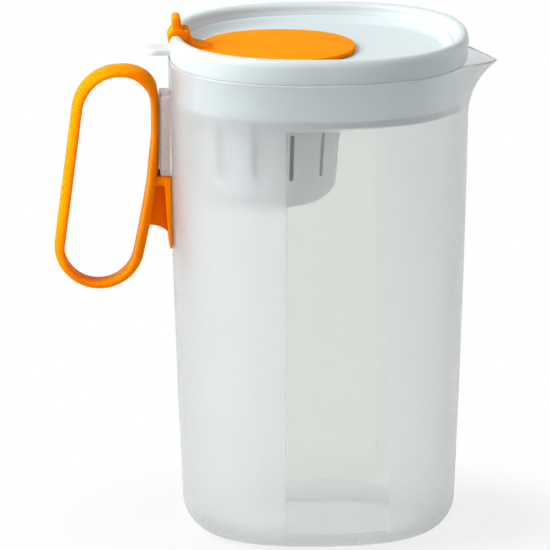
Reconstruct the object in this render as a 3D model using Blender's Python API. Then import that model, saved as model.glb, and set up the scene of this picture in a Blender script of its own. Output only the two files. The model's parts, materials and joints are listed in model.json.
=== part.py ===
"""A 2 litre jug with a lid, a thumb flap over a strainer basket, and a loop handle. Metres, +Z up."""

import math

import bmesh
import bpy
from mathutils import Matrix, Vector

MM = 0.001
GAP = 0.3 * MM

# Plan of the jug: a rounded outline, wider along X (handle to spout) than along Y.
PLAN_EXPONENT = 2.35
PLAN_STEPS = 64
RIM_HALF_X = 65.6 * MM
RIM_HALF_Y = 57.4 * MM

# Jug body.
BODY_HEIGHT = 210.0 * MM
BODY_TAPER = 6.9 * MM
TAPER_POWER = 1.5
WALL = 2.0 * MM
BASE_THICKNESS = 2.6 * MM
BASE_EDGE_RADIUS = 16.0 * MM
SPOUT_REACH = 13.0 * MM
SPOUT_HALF_WIDTH = 22.0 * MM
SPOUT_HEIGHT = 25.0 * MM
SPOUT_DROP = 3.0 * MM
SPOUT_POWER = 1.7

# Handle socket on the jug's -X side. Its top is a drop below the rim.
SOCKET_DROP = 11.4 * MM
SOCKET_LENGTH = 39.3 * MM
SOCKET_HALF_WIDTH = 9.0 * MM
SOCKET_FRONT_WALL = 1.4 * MM
SOCKET_CAP = 2.0 * MM
SOCKET_ROOT = 1.0 * MM
SOCKET_WEB = 1.5 * MM

# Handle. The loop rises above the top of the socket.
TONGUE_THICKNESS = 1.8 * MM
TONGUE_HALF_WIDTH = 7.0 * MM
LOOP_DEPTH = 19.0 * MM
LEG_THICKNESS = 2.6 * MM
GRIP_THICKNESS = 4.2 * MM
THICKENING_RUN = 22.0 * MM
LOOP_RISE = 9.4 * MM
LOOP_HEIGHT = 97.0 * MM
LOOP_WIDTH_TOP = 32.5 * MM
LOOP_WIDTH_BOTTOM = 36.2 * MM
LOOP_LEAN_BOTTOM = 8.9 * MM
LOOP_KNEE_DROP = 40.0 * MM
LOOP_TOP_RADIUS = 16.5 * MM
LOOP_BOTTOM_RADIUS = 17.5 * MM
LOOP_KNEE_RADIUS = 45.0 * MM
LOOP_SECTION_EXPONENT = 2.5
LOOP_SECTION_STEPS = 14
BAR_HEIGHT = 4.5 * MM
BAR_HALF_WIDTH = 8.0 * MM
FOOT_LENGTH = 33.0 * MM
FOOT_HALF_WIDTH = 8.0 * MM
FOOT_ROOT_THICKNESS = 2.6 * MM
FOOT_TIP_THICKNESS = 1.2 * MM
WEB_HALF_THICKNESS = 1.5 * MM
WEB_DROP_LEG = 16.5 * MM
WEB_DROP_FOOT = 24.0 * MM

# Lid. Heights are above the jug's rim, and setbacks are from the rim's -X edge.
LID_CREST = 13.5 * MM
LID_CREST_INSET = 2.9 * MM
LID_FLOOR = 5.0 * MM
LID_FLOOR_INSET = 12.5 * MM
LID_SHEET = 2.0 * MM
SKIRT_DEPTH = 19.0 * MM
SKIRT_CLEARANCE = 0.5 * MM
SEAL_HEIGHT = 2.4 * MM
SEAL_THICKNESS = 0.8 * MM
SEAL_ABOVE_EDGE = 1.8 * MM
POUR_SLOTS = 5
POUR_SLOT_WIDTH = 3.0 * MM
POUR_SLOT_PITCH = 6.0 * MM
POUR_SLOT_TOP = 1.5 * MM
POUR_SLOT_HEIGHT = 10.5 * MM
TAB_LENGTH = 10.3 * MM
TAB_HALF_WIDTH = 6.7 * MM
TAB_THICKNESS = 1.6 * MM
TAB_HEIGHT = 5.2 * MM
MOUTH_SETBACK = 51.3 * MM
MOUTH_RADIUS = 23.0 * MM
COLLAR_SETBACK = 43.1 * MM
COLLAR_RADIUS = 32.0 * MM
COLLAR_WALL = 1.6 * MM
COLLAR_LENGTH = 7.0 * MM

# Hinge of the flap, inside the rim on the -X side.
HINGE_INSET = 3.9 * MM
HINGE_HEIGHT = 11.5 * MM
PIN_RADIUS = 1.2 * MM
PIN_LENGTH = 18.0 * MM
KNUCKLE_RADIUS = 4.4 * MM
KNUCKLE_HALF_WIDTH = 6.0 * MM
LUG_WIDTH = 4.2 * MM

# Flap.
FLAP_RADIUS = 30.8 * MM
FLAP_THICKNESS = 1.8 * MM
PLUG_CLEARANCE = 1.5 * MM
PLUG_WALL = 1.4 * MM
PLUG_DEPTH = 2.8 * MM
FIN_HEIGHT = 11.7 * MM
FIN_THICKNESS = 3.4 * MM
FIN_OFFSET = 1.2 * MM
FIN_HALF_WIDTH = 5.5 * MM
FIN_FLARE = 0.5 * MM

# Strainer basket.
BASKET_WALL = 1.4 * MM
BASKET_DEPTH = 61.0 * MM
BASKET_WAIST_RADIUS = 30.2 * MM
BASKET_EDGE_RADIUS = 10.0 * MM
BASKET_STEPS = 60
BASKET_SLOTS = 12
BASKET_SLOT_WIDTH = 2.2 * MM
BASKET_SLOT_TOP = 26.0 * MM
BASKET_SLOT_HEIGHT = 24.0 * MM


def clear_scene():
    for obj in list(bpy.data.objects):
        bpy.data.objects.remove(obj, do_unlink=True)


def material(name, colour, roughness, transmission=0.0):
    made = bpy.data.materials.new(name)
    made.use_nodes = True
    shader = made.node_tree.nodes["Principled BSDF"]
    shader.inputs["Base Color"].default_value = (*colour, 1.0)
    shader.inputs["Roughness"].default_value = roughness
    shader.inputs["Transmission Weight"].default_value = transmission
    return made


def add_object(name, bm, look=None, smooth=True):
    bmesh.ops.recalc_face_normals(bm, faces=bm.faces)
    mesh = bpy.data.meshes.new(name)
    bm.to_mesh(mesh)
    bm.free()
    if smooth:
        mesh.polygons.foreach_set("use_smooth", [True] * len(mesh.polygons))
        mesh.set_sharp_from_angle(angle=math.radians(32))
    obj = bpy.data.objects.new(name, mesh)
    bpy.context.scene.collection.objects.link(obj)
    if look:
        mesh.materials.append(look)
    return obj


def boolean(target, tool, operation):
    tool.hide_render = True
    tool.display_type = "WIRE"
    step = target.modifiers.new(f"{operation.lower()}_{tool.name}", "BOOLEAN")
    step.operation = operation
    step.solver = "EXACT"
    step.object = tool


def pivot_at(obj, point):
    """Moves a piece's origin onto its joint and leaves the piece where it stands."""
    obj.data.transform(Matrix.Translation(-Vector(point)))
    obj.location = point


def loft(rings, cap_ends=True):
    """Faces between rings of equal length. The ends are capped, or the last ring joins the first."""
    bm = bmesh.new()
    made = [[bm.verts.new(point) for point in ring] for ring in rings]
    pairs = list(zip(made, made[1:]))
    if not cap_ends:
        pairs.append((made[-1], made[0]))
    count = len(made[0])
    for low, high in pairs:
        for i in range(count):
            j = (i + 1) % count
            bm.faces.new((low[i], low[j], high[j], high[i]))
    if cap_ends:
        bm.faces.new(made[0])
        bm.faces.new(made[-1])
    return bm


def prism(outline, axis, start, end):
    """A polygon pushed along one axis: 'Y' takes (x, z) points and 'Z' takes (x, y) points."""
    if axis == "Y":
        ends = [[(a, side, b) for a, b in outline] for side in (start, end)]
    else:
        ends = [[(a, b, side) for a, b in outline] for side in (start, end)]
    return loft(ends)


def arc(cx, cy, radius, start, end, steps):
    return [
        (
            cx + radius * math.cos(math.radians(start + (end - start) * i / steps)),
            cy + radius * math.sin(math.radians(start + (end - start) * i / steps)),
        )
        for i in range(steps + 1)
    ]


def circle(cx, cy, radius, steps):
    return arc(cx, cy, radius, 0.0, 360.0, steps)[:-1]


def turned(profile, cx, steps, cap_ends=True):
    """A round piece about the vertical line x = cx, from (radius, z) points."""
    return loft([[(x, y, z) for x, y in circle(cx, 0.0, r, steps)] for r, z in profile], cap_ends)


def join_meshes(parts):
    """Several closed meshes in one, for a cutter with separate bodies."""
    whole = bmesh.new()
    for part in parts:
        scratch = bpy.data.meshes.new("scratch")
        part.to_mesh(scratch)
        part.free()
        whole.from_mesh(scratch)
        bpy.data.meshes.remove(scratch)
    return whole


def plan(half_x, half_y, z):
    """The jug's rounded outline at one height."""
    ring = []
    for i in range(PLAN_STEPS):
        angle = 2.0 * math.pi * i / PLAN_STEPS
        c = math.cos(angle)
        s = math.sin(angle)
        size = abs(c / half_x) ** PLAN_EXPONENT + abs(s / half_y) ** PLAN_EXPONENT
        reach = size ** (-1.0 / PLAN_EXPONENT)
        ring.append((reach * c, reach * s, z))
    return ring


def lid_ring(inset, height):
    return plan(RIM_HALF_X - inset, RIM_HALF_Y - inset, BODY_HEIGHT + height)


def taper_at(z):
    """How far the wall stands inside the rim's outline at a height."""
    return BODY_TAPER * (max(0.0, BODY_HEIGHT - z) / BODY_HEIGHT) ** TAPER_POWER


def wall_x(z):
    return -(RIM_HALF_X - taper_at(z))


def with_spout(ring):
    """Pulls the part of a ring near +X out into the pouring spout."""
    start = BODY_HEIGHT - SPOUT_HEIGHT
    shaped = []
    for x, y, z in ring:
        share = max(0.0, 1.0 - abs(y) / SPOUT_HALF_WIDTH) if x > 0.0 else 0.0
        rise = max(0.0, (z - start) / SPOUT_HEIGHT)
        shaped.append((x + SPOUT_REACH * share * rise**SPOUT_POWER, y, z - SPOUT_DROP * share * rise**3))
    return shaped


def body_rings(inset, floor, radius):
    """Rings of the outer or inner wall from the base up to the rim."""
    rings = []
    edge_steps = 6
    for i in range(edge_steps + 1):
        turn = 0.5 * math.pi * i / edge_steps
        z = floor + radius * (1.0 - math.cos(turn))
        back = inset + taper_at(floor + radius) + radius * (1.0 - math.sin(turn))
        rings.append(plan(RIM_HALF_X - back, RIM_HALF_Y - back, z))
    start = BODY_HEIGHT - SPOUT_HEIGHT
    low = floor + radius
    heights = [low + (start - low) * i / 5 for i in range(1, 6)]
    heights += [start + SPOUT_HEIGHT * i / 6 for i in range(1, 7)]
    for z in heights:
        back = inset + taper_at(z)
        rings.append(with_spout(plan(RIM_HALF_X - back, RIM_HALF_Y - back, z)))
    return rings


def build_jug():
    outer = body_rings(0.0, 0.0, BASE_EDGE_RADIUS)
    inner = body_rings(WALL, BASE_THICKNESS, BASE_EDGE_RADIUS - WALL)
    look = material("frosted_polypropylene", (0.84, 0.87, 0.86), 0.45, 0.85)
    jug = add_object("jug_body", loft(outer + inner[::-1]), look)

    front = socket_front()
    back_low = wall_x(socket_bottom()) + SOCKET_ROOT
    back_high = wall_x(socket_top()) + SOCKET_ROOT
    block = [(front, socket_bottom()), (back_low, socket_bottom())]
    block += [(back_high, socket_top()), (front, socket_top())]
    half = SOCKET_HALF_WIDTH
    boolean(jug, add_object("socket_block", prism(block, "Y", -half, half)), "UNION")
    low = socket_bottom() - SOCKET_CAP
    high = socket_top() - SOCKET_CAP
    left = front + SOCKET_FRONT_WALL
    right = left + tongue_room()
    cavity = [(left, low), (right, low), (right, high), (left, high)]
    half = TONGUE_HALF_WIDTH + GAP
    boolean(jug, add_object("socket_cavity", prism(cavity, "Y", -half, half)), "DIFFERENCE")
    return jug


def socket_top():
    return BODY_HEIGHT - SOCKET_DROP


def socket_bottom():
    return socket_top() - SOCKET_LENGTH


def tongue_room():
    return TONGUE_THICKNESS + 2.0 * GAP


def socket_front():
    """The socket's outer face: wall, web, room for the tongue, front wall."""
    return wall_x(socket_top()) - SOCKET_WEB - tongue_room() - SOCKET_FRONT_WALL


def rounded_path(corners):
    """A closed path from (x, z, radius) corners, with each corner rounded to its radius."""
    path = []
    count = len(corners)
    for i, (x, z, radius) in enumerate(corners):
        bx, bz, _ = corners[i - 1]
        ax, az, _ = corners[(i + 1) % count]
        back = math.hypot(bx - x, bz - z)
        ahead = math.hypot(ax - x, az - z)
        ub = ((bx - x) / back, (bz - z) / back)
        ua = ((ax - x) / ahead, (az - z) / ahead)
        half = 0.5 * math.acos(ub[0] * ua[0] + ub[1] * ua[1])
        middle = (ub[0] + ua[0], ub[1] + ua[1])
        length = math.hypot(*middle)
        out = radius / math.sin(half) / length
        cx = x + middle[0] * out
        cz = z + middle[1] * out
        tangent = radius / math.tan(half)
        first = math.atan2(z + ub[1] * tangent - cz, x + ub[0] * tangent - cx)
        last = math.atan2(z + ua[1] * tangent - cz, x + ua[0] * tangent - cx)
        sweep = (last - first + math.pi) % (2.0 * math.pi) - math.pi
        steps = max(3, round(abs(sweep) / math.radians(11)))
        for k in range(steps + 1):
            turn = first + sweep * k / steps
            path.append((cx + radius * math.cos(turn), cz + radius * math.sin(turn)))
    return path


def loop_top():
    return socket_top() + LOOP_RISE


def loop_bottom():
    return loop_top() - LOOP_HEIGHT


def knee_z():
    return loop_top() - LOOP_KNEE_DROP


def leg_x():
    """Centre line of the loop's leg, which stands clear of the socket."""
    return socket_front() - GAP - 0.5 * LEG_THICKNESS


def leg_at(z):
    """Centre line of the leg at a height: it leans outwards below the knee."""
    return leg_x() - LOOP_LEAN_BOTTOM * max(0.0, (knee_z() - z) / (knee_z() - loop_bottom()))


def loop_mesh():
    leg = leg_x()
    path = rounded_path(
        [
            (leg, loop_top(), LOOP_TOP_RADIUS),
            (leg - LOOP_WIDTH_TOP, loop_top(), LOOP_TOP_RADIUS),
            (leg - LOOP_LEAN_BOTTOM - LOOP_WIDTH_BOTTOM, loop_bottom(), LOOP_BOTTOM_RADIUS),
            (leg - LOOP_LEAN_BOTTOM, loop_bottom(), LOOP_BOTTOM_RADIUS),
            (leg, knee_z(), LOOP_KNEE_RADIUS),
        ]
    )
    rings = []
    count = len(path)
    for i, (x, z) in enumerate(path):
        bx, bz = path[i - 1]
        ax, az = path[(i + 1) % count]
        length = math.hypot(ax - bx, az - bz)
        nx = (az - bz) / length
        nz = -(ax - bx) / length
        share = min(1.0, max(0.0, (leg - x) / THICKENING_RUN))
        half = 0.5 * (LEG_THICKNESS + (GRIP_THICKNESS - LEG_THICKNESS) * share)
        ring = []
        for k in range(LOOP_SECTION_STEPS):
            turn = 2.0 * math.pi * (k + 0.5) / LOOP_SECTION_STEPS
            c = math.cos(turn)
            s = math.sin(turn)
            across = half * math.copysign(abs(c) ** (2.0 / LOOP_SECTION_EXPONENT), c)
            along = 0.5 * LOOP_DEPTH * math.copysign(abs(s) ** (2.0 / LOOP_SECTION_EXPONENT), s)
            ring.append((x + nx * across, along, z + nz * across))
        rings.append(ring)
    return loft(rings, cap_ends=False)


def build_handle():
    look = material("orange_handle_plastic", (0.95, 0.36, 0.01), 0.35)
    handle = add_object("handle", loop_mesh(), look)

    bar_top = socket_bottom() - GAP
    bar_bottom = bar_top - BAR_HEIGHT
    foot_x = wall_x(bar_top) - GAP
    foot_low = bar_top - FOOT_LENGTH
    tip_x = wall_x(foot_low) - GAP
    root = foot_x - FOOT_ROOT_THICKNESS
    tip = tip_x - FOOT_TIP_THICKNESS
    foot = [(foot_x, bar_top), (root, bar_top), (root, bar_bottom), (tip, foot_low), (tip_x, foot_low)]
    half = FOOT_HALF_WIDTH
    boolean(handle, add_object("handle_foot", prism(foot, "Y", -half, half)), "UNION")

    bar_in = root + 1.0 * MM
    bar_up = bar_top - 0.2 * MM
    bar = [(leg_at(bar_bottom), bar_bottom), (bar_in, bar_bottom), (bar_in, bar_up), (leg_at(bar_up), bar_up)]
    half = BAR_HALF_WIDTH - 0.4 * MM
    boolean(handle, add_object("handle_bar", prism(bar, "Y", -half, half)), "UNION")

    web_leg = bar_top - WEB_DROP_LEG
    web_foot = bar_top - WEB_DROP_FOOT
    share = WEB_DROP_FOOT / FOOT_LENGTH
    foot_mid = root + (tip - root) * share + 0.5 * FOOT_TIP_THICKNESS
    web_top = bar_bottom + 1.0 * MM
    web = [(leg_at(web_leg), web_leg), (foot_mid, web_foot), (root + 0.8 * MM, web_top)]
    web.append((leg_at(web_top), web_top))
    half = WEB_HALF_THICKNESS
    boolean(handle, add_object("handle_web", prism(web, "Y", -half, half)), "UNION")

    left = socket_front() + SOCKET_FRONT_WALL + GAP
    right = left + TONGUE_THICKNESS
    top = socket_top() - SOCKET_CAP - 2.0 * GAP
    low = bar_bottom + 1.0 * MM
    tongue = [(left, low), (right, low), (right, top), (left, top)]
    half = TONGUE_HALF_WIDTH
    boolean(handle, add_object("handle_tongue", prism(tongue, "Y", -half, half)), "UNION")
    return handle


def hinge_x():
    return -(RIM_HALF_X - HINGE_INSET)


def hinge_z():
    return BODY_HEIGHT + HINGE_HEIGHT


def mouth_x():
    return -(RIM_HALF_X - MOUTH_SETBACK)


def collar_x():
    return -(RIM_HALF_X - COLLAR_SETBACK)


def skirt_insets():
    outer = WALL + SKIRT_CLEARANCE
    return outer, outer + LID_SHEET


def groove_depth():
    return SEAL_THICKNESS + GAP


def build_lid():
    outer, inner = skirt_insets()
    floor = LID_FLOOR
    crest = LID_CREST
    peak = LID_CREST_INSET
    sheet = LID_SHEET
    run = LID_FLOOR_INSET
    groove_low = -SKIRT_DEPTH + SEAL_ABOVE_EDGE - GAP
    groove_high = groove_low + SEAL_HEIGHT + 2.0 * GAP
    groove = outer + groove_depth()
    drop = crest - floor
    section = [
        (run, floor),
        (run - 2.9 * MM, floor + 0.07 * drop),
        (run - 4.9 * MM, floor + 0.24 * drop),
        (peak + 3.4 * MM, floor + 0.5 * drop),
        (peak + 2.5 * MM, crest - 1.9 * MM),
        (peak + 1.3 * MM, crest - 0.5 * MM),
        (peak, crest),
        (peak - 1.3 * MM, crest - 0.5 * MM),
        (0.5 * MM, crest - 2.3 * MM),
        (0.0, crest - 5.5 * MM),
        (0.0, GAP),
        (outer, GAP),
        (outer, groove_high),
        (groove, groove_high),
        (groove, groove_low),
        (outer, groove_low),
        (outer, -SKIRT_DEPTH),
        (inner, -SKIRT_DEPTH),
        (inner, sheet),
        (sheet + 0.1 * MM, sheet + 1.5 * MM),
        (sheet, crest - 5.5 * MM),
        (sheet + 0.2 * MM, crest - sheet - 0.9 * MM),
        (peak, crest - sheet - 0.3 * MM),
        (peak + 0.7 * MM, crest - sheet - 0.9 * MM),
        (peak + 1.6 * MM, floor + 0.4 * drop),
        (peak + 3.3 * MM, floor + 0.1 * drop),
        (run - 4.1 * MM, floor - 0.6 * sheet),
        (run - 1.5 * MM, floor - sheet),
    ]
    look = material("lid_plastic", (0.74, 0.82, 0.85), 0.35, 0.25)
    lid = add_object("lid", loft([lid_ring(o, z) for o, z in section]), look)

    hx = hinge_x()
    hz = hinge_z()
    half = KNUCKLE_HALF_WIDTH + GAP
    lug_half = half + LUG_WIDTH
    edge = -RIM_HALF_X
    up = BODY_HEIGHT
    lug = [
        (edge + 1.4 * MM, up + 1.2 * MM),
        (edge + outer + 0.8 * MM, up + 0.9 * MM),
        (edge + inner + 1.2 * MM, up + 1.2 * MM),
        (edge + run - 4.2 * MM, up + floor - 0.5 * MM),
        (edge + run - 4.0 * MM, up + floor + 0.6 * MM),
        (edge + peak + 4.0 * MM, up + floor + 0.25 * drop),
        (edge + peak + 2.0 * MM, up + crest - 2.9 * MM),
        (edge + peak + 0.6 * MM, up + crest - 1.0 * MM),
        (edge + peak - 0.6 * MM, up + crest - 1.0 * MM),
        (edge + 1.4 * MM, up + crest - 3.4 * MM),
    ]
    boolean(lid, add_object("hinge_lugs", prism(lug, "Y", -lug_half, lug_half)), "UNION")

    tab_x = edge - TAB_LENGTH
    corner = 3.5 * MM
    wide = TAB_HALF_WIDTH
    tab = [(edge + 1.2 * MM, wide)]
    tab += arc(tab_x + corner, wide - corner, corner, 90.0, 180.0, 5)
    tab += arc(tab_x + corner, corner - wide, corner, 180.0, 270.0, 5)
    tab.append((edge + 1.2 * MM, -wide))
    low = up + TAB_HEIGHT
    boolean(lid, add_object("lift_tab", prism(tab, "Z", low, low + TAB_THICKNESS)), "UNION")

    under = up + floor - sheet
    collar = [
        (COLLAR_RADIUS, under + 0.7 * MM),
        (COLLAR_RADIUS, under - COLLAR_LENGTH),
        (COLLAR_RADIUS - COLLAR_WALL, under - COLLAR_LENGTH),
        (COLLAR_RADIUS - COLLAR_WALL, under + 0.7 * MM),
    ]
    boolean(lid, add_object("basket_collar", turned(collar, collar_x(), BASKET_STEPS, False)), "UNION")
    bore = [(MOUTH_RADIUS, up + floor + 2.0 * MM), (MOUTH_RADIUS, under - 2.0 * MM)]
    boolean(lid, add_object("mouth_bore", turned(bore, mouth_x(), BASKET_STEPS)), "DIFFERENCE")

    turn_room = circle(hx, hz, KNUCKLE_RADIUS + GAP, 32)
    boolean(lid, add_object("knuckle_room", prism(turn_room, "Y", -half, half)), "DIFFERENCE")
    arm_floor = up + floor + 0.15 * MM
    arm_room = [(hx, arm_floor + 0.6 * MM), (hx + 3.0 * MM, arm_floor), (edge + run + 4.0 * MM, arm_floor)]
    arm_room += [(edge + run + 4.0 * MM, up + crest + 4.0 * MM), (hx, up + crest + 4.0 * MM)]
    boolean(lid, add_object("arm_room", prism(arm_room, "Y", -half, half)), "DIFFERENCE")
    fin_floor = hz - FIN_OFFSET - 0.5 * FIN_THICKNESS - FIN_FLARE - GAP
    fin_room = [(edge - 1.0 * MM, fin_floor), (hx, fin_floor), (hx, up + crest + 4.0 * MM)]
    fin_room.append((edge - 1.0 * MM, up + crest + 4.0 * MM))
    boolean(lid, add_object("fin_room", prism(fin_room, "Y", -half, half)), "DIFFERENCE")
    bore = circle(hx, hz, PIN_RADIUS + GAP, 20)
    half = 0.5 * PIN_LENGTH + GAP
    boolean(lid, add_object("pin_bore", prism(bore, "Y", -half, half)), "DIFFERENCE")

    slots = []
    top = up - POUR_SLOT_TOP
    for i in range(POUR_SLOTS):
        y = (i - 0.5 * (POUR_SLOTS - 1)) * POUR_SLOT_PITCH
        slot = [
            (RIM_HALF_X - inner - 8.0 * MM, top - POUR_SLOT_HEIGHT),
            (RIM_HALF_X, top - POUR_SLOT_HEIGHT),
            (RIM_HALF_X, top),
            (RIM_HALF_X - inner - 8.0 * MM, top),
        ]
        slots.append(prism(slot, "Y", y - 0.5 * POUR_SLOT_WIDTH, y + 0.5 * POUR_SLOT_WIDTH))
    boolean(lid, add_object("pour_slots", join_meshes(slots)), "DIFFERENCE")
    return lid


def build_seal():
    outer, _ = skirt_insets()
    back = outer + groove_depth() - GAP
    low = -SKIRT_DEPTH + SEAL_ABOVE_EDGE
    high = low + SEAL_HEIGHT
    section = [(back, low), (back - SEAL_THICKNESS, low), (back - SEAL_THICKNESS, high), (back, high)]
    look = material("seal_silicone", (0.80, 0.83, 0.82), 0.6)
    return add_object("lid_seal", loft([lid_ring(o, z) for o, z in section], cap_ends=False), look)


def build_flap():
    hx = hinge_x()
    hz = hinge_z()
    look = material("orange_flap_plastic", (1.0, 0.36, 0.0), 0.35)
    under = BODY_HEIGHT + LID_FLOOR + GAP
    top = under + FLAP_THICKNESS
    plug = MOUTH_RADIUS - PLUG_CLEARANCE
    disc = [
        (plug - PLUG_WALL, under),
        (plug - PLUG_WALL, under - PLUG_DEPTH),
        (plug, under - PLUG_DEPTH),
        (plug, under),
        (FLAP_RADIUS - 0.3 * MM, under),
        (FLAP_RADIUS, under + 0.5 * MM),
        (FLAP_RADIUS, top - 0.5 * MM),
        (FLAP_RADIUS - 0.6 * MM, top),
    ]
    flap = add_object("flap", turned(disc, mouth_x(), BASKET_STEPS), look)

    half = KNUCKLE_HALF_WIDTH
    start = mouth_x() - FLAP_RADIUS
    arm = [
        (hx + 0.6 * MM, hz + KNUCKLE_RADIUS - 0.2 * MM),
        (hx + 4.6 * MM, hz + 1.0 * MM),
        (start - 2.5 * MM, top + 0.6 * MM),
        (start + 3.0 * MM, top - 0.2 * MM),
        (start + 3.0 * MM, under + 0.2 * MM),
        (start - 5.0 * MM, under + 0.2 * MM),
        (hx + 3.2 * MM, hz - 2.8 * MM),
        (hx + 0.6 * MM, hz - KNUCKLE_RADIUS + 0.6 * MM),
    ]
    boolean(flap, add_object("flap_arm", prism(arm, "Y", -half + 0.3 * MM, half - 0.3 * MM)), "UNION")
    knuckle = circle(hx, hz, KNUCKLE_RADIUS, 32)
    boolean(flap, add_object("flap_knuckle", prism(knuckle, "Y", -half, half)), "UNION")

    left = hx - FIN_OFFSET - 0.5 * FIN_THICKNESS
    right = left + FIN_THICKNESS
    tip = hz + FIN_HEIGHT
    round_top = 0.45 * FIN_THICKNESS
    fin = [(left - FIN_FLARE, hz + 1.0 * MM), (right + FIN_FLARE, hz + 1.0 * MM)]
    fin += arc(right - round_top, tip - round_top, round_top, 0.0, 90.0, 4)
    fin += arc(left + round_top, tip - round_top, round_top, 90.0, 180.0, 4)
    half = FIN_HALF_WIDTH
    boolean(flap, add_object("flap_fin", prism(fin, "Y", -half, half)), "UNION")
    half = KNUCKLE_HALF_WIDTH + 3.0 * MM
    bore = circle(hx, hz, PIN_RADIUS + GAP, 20)
    boolean(flap, add_object("knuckle_bore", prism(bore, "Y", -half, half)), "DIFFERENCE")
    return flap


def build_pin():
    look = material("pin_steel", (0.62, 0.63, 0.64), 0.3)
    half = 0.5 * PIN_LENGTH
    section = circle(hinge_x(), hinge_z(), PIN_RADIUS, 20)
    return add_object("flap_hinge_pin", prism(section, "Y", -half, half), look)


def build_basket():
    top = BODY_HEIGHT + LID_FLOOR - LID_SHEET - GAP
    bottom = BODY_HEIGHT - BASKET_DEPTH
    collar_end = BODY_HEIGHT + LID_FLOOR - LID_SHEET - COLLAR_LENGTH - 1.0 * MM
    neck = COLLAR_RADIUS + GAP
    wall = BASKET_WALL
    edge = BASKET_EDGE_RADIUS
    waist = BASKET_WAIST_RADIUS
    outside = arc(waist - edge, bottom + edge, edge, -90.0, 0.0, 5)
    outside += [(neck + wall, collar_end), (neck + wall, top)]
    inside = arc(waist - edge, bottom + edge, edge - wall, -90.0, 0.0, 5)
    inside += [(neck, collar_end), (neck, top)]
    look = material("basket_plastic", (0.74, 0.82, 0.85), 0.35, 0.3)
    basket = add_object("strainer_basket", turned(outside + inside[::-1], collar_x(), BASKET_STEPS), look)

    slots = []
    high = BODY_HEIGHT - BASKET_SLOT_TOP
    for i in range(BASKET_SLOTS):
        turn = 2.0 * math.pi * (i + 0.5) / BASKET_SLOTS
        c = math.cos(turn)
        s = math.sin(turn)
        near = waist - 8.0 * MM
        far = neck + 6.0 * MM
        half = 0.5 * BASKET_SLOT_WIDTH
        corners = [(near, -half), (far, -half), (far, half), (near, half)]
        outline = [(collar_x() + a * c - b * s, a * s + b * c) for a, b in corners]
        slots.append(prism(outline, "Z", high - BASKET_SLOT_HEIGHT, high))
    boolean(basket, add_object("basket_slots", join_meshes(slots)), "DIFFERENCE")
    return basket


def main():
    clear_scene()
    build_jug()
    handle = build_handle()
    lid = build_lid()
    seal = build_seal()
    flap = build_flap()
    pin = build_pin()
    basket = build_basket()
    pivot_at(handle, (leg_x(), 0.0, socket_bottom()))
    pivot_at(lid, (0.0, 0.0, BODY_HEIGHT))
    pivot_at(seal, (0.0, 0.0, BODY_HEIGHT))
    pivot_at(flap, (hinge_x(), 0.0, hinge_z()))
    pivot_at(pin, (hinge_x(), 0.0, hinge_z()))
    pivot_at(basket, (collar_x(), 0.0, BODY_HEIGHT))


main()
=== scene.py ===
"""The dressed model of a lidded jug, laid out as an add-on and run as a script. Metres, +Z up."""

import json
import math

import bmesh
import bpy
from bpy.props import FloatProperty, FloatVectorProperty, IntProperty, PointerProperty
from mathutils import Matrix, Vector


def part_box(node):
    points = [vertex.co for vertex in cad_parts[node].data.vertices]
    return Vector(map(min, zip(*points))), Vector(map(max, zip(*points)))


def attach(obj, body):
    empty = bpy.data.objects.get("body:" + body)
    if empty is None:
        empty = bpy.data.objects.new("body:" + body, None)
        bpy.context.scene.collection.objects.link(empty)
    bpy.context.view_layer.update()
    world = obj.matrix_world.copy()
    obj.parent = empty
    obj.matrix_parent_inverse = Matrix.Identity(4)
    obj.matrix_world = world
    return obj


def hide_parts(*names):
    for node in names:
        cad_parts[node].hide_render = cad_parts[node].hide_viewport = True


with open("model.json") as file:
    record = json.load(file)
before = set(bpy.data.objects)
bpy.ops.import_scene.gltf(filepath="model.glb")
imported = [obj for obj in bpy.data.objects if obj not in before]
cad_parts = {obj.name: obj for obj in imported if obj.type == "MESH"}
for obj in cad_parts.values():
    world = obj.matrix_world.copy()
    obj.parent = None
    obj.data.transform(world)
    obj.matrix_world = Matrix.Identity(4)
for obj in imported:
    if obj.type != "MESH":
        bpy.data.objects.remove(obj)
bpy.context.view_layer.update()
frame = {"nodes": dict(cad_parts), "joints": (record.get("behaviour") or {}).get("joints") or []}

bl_info = {
    "name": "Lidded Jug",
    "version": (1, 0, 0),
    "blender": (4, 5, 0),
    "location": "3D View > Sidebar > Jug",
    "description": "Models a frosted jug with its lid, flap, strainer basket and loop handle",
    "category": "Add Mesh",
}

MM = 0.001

# Places that the frame gives.
JUG_LOW, JUG_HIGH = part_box("jug_body")
LID_LOW, LID_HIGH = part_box("lid")
FLAP_LOW, FLAP_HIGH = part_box("flap")
PIN_LOW, PIN_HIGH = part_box("flap_hinge_pin")
SEAL_LOW, SEAL_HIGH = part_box("lid_seal")
BASKET_LOW, BASKET_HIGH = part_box("strainer_basket")
HANDLE_HALF_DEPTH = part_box("handle")[1].y
HINGE = Vector(next(j for j in frame["joints"] if j["name"] == "flap_hinge")["pos_m"])
MOUTH_X = FLAP_HIGH.x - FLAP_HIGH.y
BASKET_X = 0.5 * (BASKET_LOW.x + BASKET_HIGH.x)
PIN_RADIUS = 0.5 * (PIN_HIGH.z - PIN_LOW.z)

# Clearances, and how far one block reaches into or past another.
GAP = 0.3 * MM
REST_GAP = 0.06 * MM
SEAL_GAP = 0.05 * MM
ARM_GAP = 0.15 * MM
PLUG_CLEARANCE = 1.5 * MM
OVERLAP = 1.0 * MM
MERGE_DISTANCE = 0.001 * MM

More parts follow.
